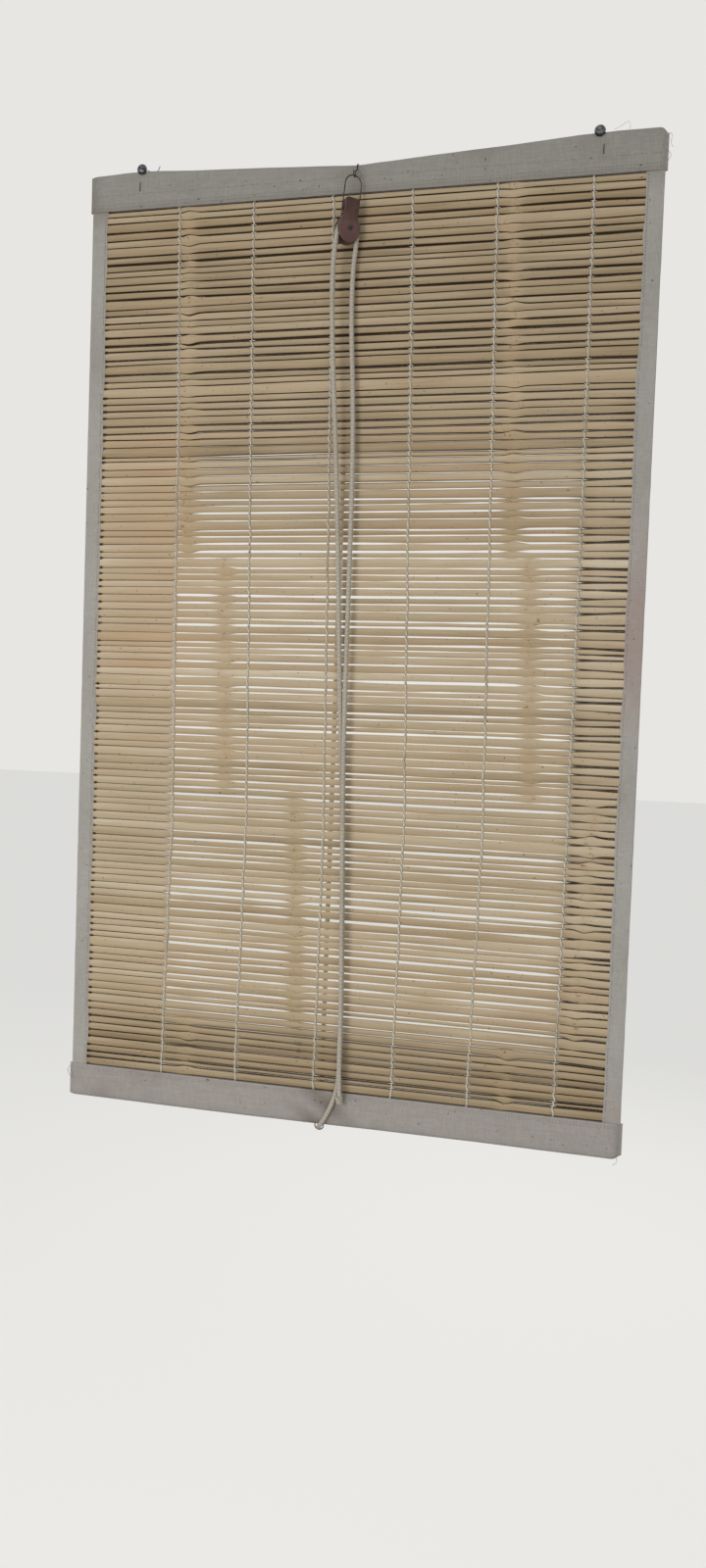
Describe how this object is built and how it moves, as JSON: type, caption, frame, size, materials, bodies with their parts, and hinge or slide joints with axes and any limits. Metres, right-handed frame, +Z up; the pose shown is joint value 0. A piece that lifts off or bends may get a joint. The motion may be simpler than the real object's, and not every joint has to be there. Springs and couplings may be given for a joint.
{
  "type": "roll up blind",
  "caption": "Split bamboo roll up blind with canvas hems and side tapes, hung by wires on two nails and raised by a rope through a hanging pulley.",
  "frame": {"origin": "on the wall plane, at the height of the two nails, on the blind's vertical centre line", "axes": "+X to the viewer's right, +Y into the wall, +Z up"},
  "size_m": [1.1, 0.089, 1.8566],
  "materials": {
    "canvas": "worn plain weave canvas",
    "tape": "plain weave canvas tape",
    "batten": "raw wood",
    "bamboo": "split bamboo, dull",
    "warp_thread": "twisted cotton thread",
    "rope": "twisted cotton rope",
    "nail_steel": "dull dark steel",
    "dark_wire": "annealed iron wire",
    "block": "worn dark brown",
    "sheave": "dull dark brown"
  },
  "bodies": {
    "blind_top": {"top_hem": "canvas", "top_batten": "batten", "nail_left": "nail_steel", "nail_right": "nail_steel", "hanger_wire_left": "dark_wire", "hanger_wire_right": "dark_wire", "pulley_hook_wire": "dark_wire", "rope_lift_run": "rope", "rope_pull_run": "rope", "rope_back_run": "rope", "rope_top_knot": "rope", "side_tape_left": "tape", "side_tape_right": "tape", "warp_cords": "warp_thread", "slats_fixed": "bamboo"},
    "pulley": {"pulley_wire_loop": "dark_wire", "pulley_block": "block", "pulley_axle": "nail_steel", "rope_over_sheave": "rope"},
    "sheave": {"pulley_sheave": "sheave"},
    "mat_01": {"slats_01": "bamboo"},
    "mat_02": {"slats_02": "bamboo"},
    "mat_03": {"slats_03": "bamboo"},
    "mat_04": {"slats_04": "bamboo"},
    "mat_05": {"slats_05": "bamboo"},
    "mat_06": {"slats_06": "bamboo"},
    "mat_07": {"slats_07": "bamboo"},
    "mat_08": {"slats_08": "bamboo"},
    "mat_09": {"slats_09": "bamboo"},
    "mat_10": {"slats_10": "bamboo"},
    "mat_11": {"slats_11": "bamboo"},
    "mat_12": {"slats_12": "bamboo"},
    "mat_13": {"slats_13": "bamboo"},
    "mat_14": {"slats_14": "bamboo"},
    "mat_15": {"slats_15": "bamboo"},
    "mat_16": {"slats_16": "bamboo"},
    "mat_17": {"slats_17": "bamboo"},
    "mat_18": {"slats_18": "bamboo"},
    "mat_19": {"slats_19": "bamboo"},
    "mat_20": {"slats_20": "bamboo"},
    "mat_21": {"slats_21": "bamboo"},
    "mat_22": {"slats_22": "bamboo"},
    "mat_23": {"slats_23": "bamboo"},
    "mat_24": {"slats_24": "bamboo"},
    "mat_25": {"slats_25": "bamboo"},
    "mat_26": {"slats_26": "bamboo"},
    "mat_27": {"slats_27": "bamboo"},
    "mat_28": {"slats_28": "bamboo"},
    "mat_29": {"slats_29": "bamboo"},
    "mat_30": {"slats_30": "bamboo"},
    "mat_31": {"slats_31": "bamboo"},
    "mat_32": {"slats_32": "bamboo"},
    "mat_33": {"slats_33": "bamboo"},
    "mat_34": {"slats_34": "bamboo"},
    "mat_35": {"slats_35": "bamboo"},
    "bottom_bar": {"bottom_hem": "canvas", "bottom_batten": "batten", "bottom_ring": "dark_wire", "rope_foot": "rope", "rope_knot": "rope"}
  },
  "joints": [
    {"name": "roll_01", "type": "hinge", "parent": "blind_top", "child": "mat_01", "pos_m": [0, -0.0197, -0.31805], "axis": [-1, 0, 0], "range_deg": [0, 13], "deforming": ["rope_lift_run", "rope_pull_run", "rope_back_run", "side_tape_left", "side_tape_right", "warp_cords"]},
    {"name": "roll_02", "type": "hinge", "parent": "mat_01", "child": "mat_02", "pos_m": [0, -0.0197, -0.36112], "axis": [-1, 0, 0], "range_deg": [-0.5, 26.7]},
    {"name": "roll_03", "type": "hinge", "parent": "mat_02", "child": "mat_03", "pos_m": [0, -0.0197, -0.40419], "axis": [-1, 0, 0], "range_deg": [-0.5, 26.9]},
    {"name": "roll_04", "type": "hinge", "parent": "mat_03", "child": "mat_04", "pos_m": [0, -0.0197, -0.44725], "axis": [-1, 0, 0], "range_deg": [-0.5, 27.1]},
    {"name": "roll_05", "type": "hinge", "parent": "mat_04", "child": "mat_05", "pos_m": [0, -0.0197, -0.49032], "axis": [-1, 0, 0], "range_deg": [-0.5, 27.4]},
    {"name": "roll_06", "type": "hinge", "parent": "mat_05", "child": "mat_06", "pos_m": [0, -0.0197, -0.53339], "axis": [-1, 0, 0], "range_deg": [-0.5, 27.7]},
    {"name": "roll_07", "type": "hinge", "parent": "mat_06", "child": "mat_07", "pos_m": [0, -0.0197, -0.57646], "axis": [-1, 0, 0], "range_deg": [-0.5, 27.9]},
    {"name": "roll_08", "type": "hinge", "parent": "mat_07", "child": "mat_08", "pos_m": [0, -0.0197, -0.61952], "axis": [-1, 0, 0], "range_deg": [-0.5, 28.2]},
    {"name": "roll_09", "type": "hinge", "parent": "mat_08", "child": "mat_09", "pos_m": [0, -0.0197, -0.66259], "axis": [-1, 0, 0], "range_deg": [-0.5, 28.5]},
    {"name": "roll_10", "type": "hinge", "parent": "mat_09", "child": "mat_10", "pos_m": [0, -0.0197, -0.70566], "axis": [-1, 0, 0], "range_deg": [-0.5, 28.8]},
    {"name": "roll_11", "type": "hinge", "parent": "mat_10", "child": "mat_11", "pos_m": [0, -0.0197, -0.74873], "axis": [-1, 0, 0], "range_deg": [-0.5, 29.1]},
    {"name": "roll_12", "type": "hinge", "parent": "mat_11", "child": "mat_12", "pos_m": [0, -0.0197, -0.7918], "axis": [-1, 0, 0], "range_deg": [-0.5, 29.4]},
    {"name": "roll_13", "type": "hinge", "parent": "mat_12", "child": "mat_13", "pos_m": [0, -0.0197, -0.83486], "axis": [-1, 0, 0], "range_deg": [-0.5, 29.7]},
    {"name": "roll_14", "type": "hinge", "parent": "mat_13", "child": "mat_14", "pos_m": [0, -0.0197, -0.87793], "axis": [-1, 0, 0], "range_deg": [-0.5, 30]},
    {"name": "roll_15", "type": "hinge", "parent": "mat_14", "child": "mat_15", "pos_m": [0, -0.0197, -0.921], "axis": [-1, 0, 0], "range_deg": [-0.5, 30.4]},
    {"name": "roll_16", "type": "hinge", "parent": "mat_15", "child": "mat_16", "pos_m": [0, -0.0197, -0.96407], "axis": [-1, 0, 0], "range_deg": [-0.5, 30.7]},
    {"name": "roll_17", "type": "hinge", "parent": "mat_16", "child": "mat_17", "pos_m": [0, -0.0197, -1.00714], "axis": [-1, 0, 0], "range_deg": [-0.5, 31.1]},
    {"name": "roll_18", "type": "hinge", "parent": "mat_17", "child": "mat_18", "pos_m": [0, -0.0197, -1.0502], "axis": [-1, 0, 0], "range_deg": [-0.5, 31.5]},
    {"name": "roll_19", "type": "hinge", "parent": "mat_18", "child": "mat_19", "pos_m": [0, -0.0197, -1.09327], "axis": [-1, 0, 0], "range_deg": [-0.5, 31.9]},
    {"name": "roll_20", "type": "hinge", "parent": "mat_19", "child": "mat_20", "pos_m": [0, -0.0197, -1.13634], "axis": [-1, 0, 0], "range_deg": [-0.5, 32.3]},
    {"name": "roll_21", "type": "hinge", "parent": "mat_20", "child": "mat_21", "pos_m": [0, -0.0197, -1.17941], "axis": [-1, 0, 0], "range_deg": [-0.5, 32.7]},
    {"name": "roll_22", "type": "hinge", "parent": "mat_21", "child": "mat_22", "pos_m": [0, -0.0197, -1.22247], "axis": [-1, 0, 0], "range_deg": [-0.5, 33.2]},
    {"name": "roll_23", "type": "hinge", "parent": "mat_22", "child": "mat_23", "pos_m": [0, -0.0197, -1.26554], "axis": [-1, 0, 0], "range_deg": [-0.5, 33.6]},
    {"name": "roll_24", "type": "hinge", "parent": "mat_23", "child": "mat_24", "pos_m": [0, -0.0197, -1.30861], "axis": [-1, 0, 0], "range_deg": [-0.5, 34.1]},
    {"name": "roll_25", "type": "hinge", "parent": "mat_24", "child": "mat_25", "pos_m": [0, -0.0197, -1.35168], "axis": [-1, 0, 0], "range_deg": [-0.5, 34.6]},
    {"name": "roll_26", "type": "hinge", "parent": "mat_25", "child": "mat_26", "pos_m": [0, -0.0197, -1.39475], "axis": [-1, 0, 0], "range_deg": [-0.5, 35.2]},
    {"name": "roll_27", "type": "hinge", "parent": "mat_26", "child": "mat_27", "pos_m": [0, -0.0197, -1.43781], "axis": [-1, 0, 0], "range_deg": [-0.5, 35.7]},
    {"name": "roll_28", "type": "hinge", "parent": "mat_27", "child": "mat_28", "pos_m": [0, -0.0197, -1.48088], "axis": [-1, 0, 0], "range_deg": [-0.5, 36.3]},
    {"name": "roll_29", "type": "hinge", "parent": "mat_28", "child": "mat_29", "pos_m": [0, -0.0197, -1.52395], "axis": [-1, 0, 0], "range_deg": [-0.5, 36.9]},
    {"name": "roll_30", "type": "hinge", "parent": "mat_29", "child": "mat_30", "pos_m": [0, -0.0197, -1.56702], "axis": [-1, 0, 0], "range_deg": [-0.5, 37.6]},
    {"name": "roll_31", "type": "hinge", "parent": "mat_30", "child": "mat_31", "pos_m": [0, -0.0197, -1.61008], "axis": [-1, 0, 0], "range_deg": [-0.5, 38.3]},
    {"name": "roll_32", "type": "hinge", "parent": "mat_31", "child": "mat_32", "pos_m": [0, -0.0197, -1.65315], "axis": [-1, 0, 0], "range_deg": [-0.5, 32.4]},
    {"name": "roll_33", "type": "hinge", "parent": "mat_32", "child": "mat_33", "pos_m": [0, -0.0197, -1.68186], "axis": [-1, 0, 0], "range_deg": [-0.5, 26.2]},
    {"name": "roll_34", "type": "hinge", "parent": "mat_33", "child": "mat_34", "pos_m": [0, -0.0197, -1.71058], "axis": [-1, 0, 0], "range_deg": [-0.5, 26.6]},
    {"name": "roll_35", "type": "hinge", "parent": "mat_34", "child": "mat_35", "pos_m": [0, -0.0197, -1.73929], "axis": [-1, 0, 0], "range_deg": [-0.5, 26.9]},
    {"name": "roll_36", "type": "hinge", "parent": "mat_35", "child": "bottom_bar", "pos_m": [0, -0.0197, -1.768], "axis": [-1, 0, 0], "range_deg": [-0.5, 55.5]},
    {"name": "pulley_sway", "type": "hinge", "parent": "blind_top", "child": "pulley", "pos_m": [-0.0096, -0.043, -0.0533], "axis": [0, 1, 0], "range_deg": [-8, 8], "deforming": ["rope_over_sheave"]},
    {"name": "sheave_spin", "type": "hinge", "parent": "pulley", "child": "sheave", "pos_m": [-0.01913, -0.043, -0.14658], "axis": [-0.6126, 0.788, 0.0611], "continuous": true}
  ],
  "couplings": [
    {"joint": "roll_02", "follows": "roll_01", "ratio": 2.0154},
    {"joint": "roll_03", "follows": "roll_01", "ratio": 2.0308},
    {"joint": "roll_04", "follows": "roll_01", "ratio": 2.0461},
    {"joint": "roll_05", "follows": "roll_01", "ratio": 2.0692},
    {"joint": "roll_06", "follows": "roll_01", "ratio": 2.0923},
    {"joint": "roll_07", "follows": "roll_01", "ratio": 2.1077},
    {"joint": "roll_08", "follows": "roll_01", "ratio": 2.1308},
    {"joint": "roll_09", "follows": "roll_01", "ratio": 2.1538},
    {"joint": "roll_10", "follows": "roll_01", "ratio": 2.1769},
    {"joint": "roll_11", "follows": "roll_01", "ratio": 2.2},
    {"joint": "roll_12", "follows": "roll_01", "ratio": 2.2231},
    {"joint": "roll_13", "follows": "roll_01", "ratio": 2.2462},
    {"joint": "roll_14", "follows": "roll_01", "ratio": 2.2692},
    {"joint": "roll_15", "follows": "roll_01", "ratio": 2.3},
    {"joint": "roll_16", "follows": "roll_01", "ratio": 2.3231},
    {"joint": "roll_17", "follows": "roll_01", "ratio": 2.3538},
    {"joint": "roll_18", "follows": "roll_01", "ratio": 2.3846},
    {"joint": "roll_19", "follows": "roll_01", "ratio": 2.4154},
    {"joint": "roll_20", "follows": "roll_01", "ratio": 2.4461},
    {"joint": "roll_21", "follows": "roll_01", "ratio": 2.4769},
    {"joint": "roll_22", "follows": "roll_01", "ratio": 2.5154},
    {"joint": "roll_23", "follows": "roll_01", "ratio": 2.5461},
    {"joint": "roll_24", "follows": "roll_01", "ratio": 2.5846},
    {"joint": "roll_25", "follows": "roll_01", "ratio": 2.6231},
    {"joint": "roll_26", "follows": "roll_01", "ratio": 2.6692},
    {"joint": "roll_27", "follows": "roll_01", "ratio": 2.7077},
    {"joint": "roll_28", "follows": "roll_01", "ratio": 2.7538},
    {"joint": "roll_29", "follows": "roll_01", "ratio": 2.8},
    {"joint": "roll_30", "follows": "roll_01", "ratio": 2.8538},
    {"joint": "roll_31", "follows": "roll_01", "ratio": 2.9077},
    {"joint": "roll_32", "follows": "roll_01", "ratio": 2.4539},
    {"joint": "roll_33", "follows": "roll_01", "ratio": 1.9769},
    {"joint": "roll_34", "follows": "roll_01", "ratio": 2.0077},
    {"joint": "roll_35", "follows": "roll_01", "ratio": 2.0308},
    {"joint": "roll_36", "follows": "roll_01", "ratio": 4.2308}
  ]
}
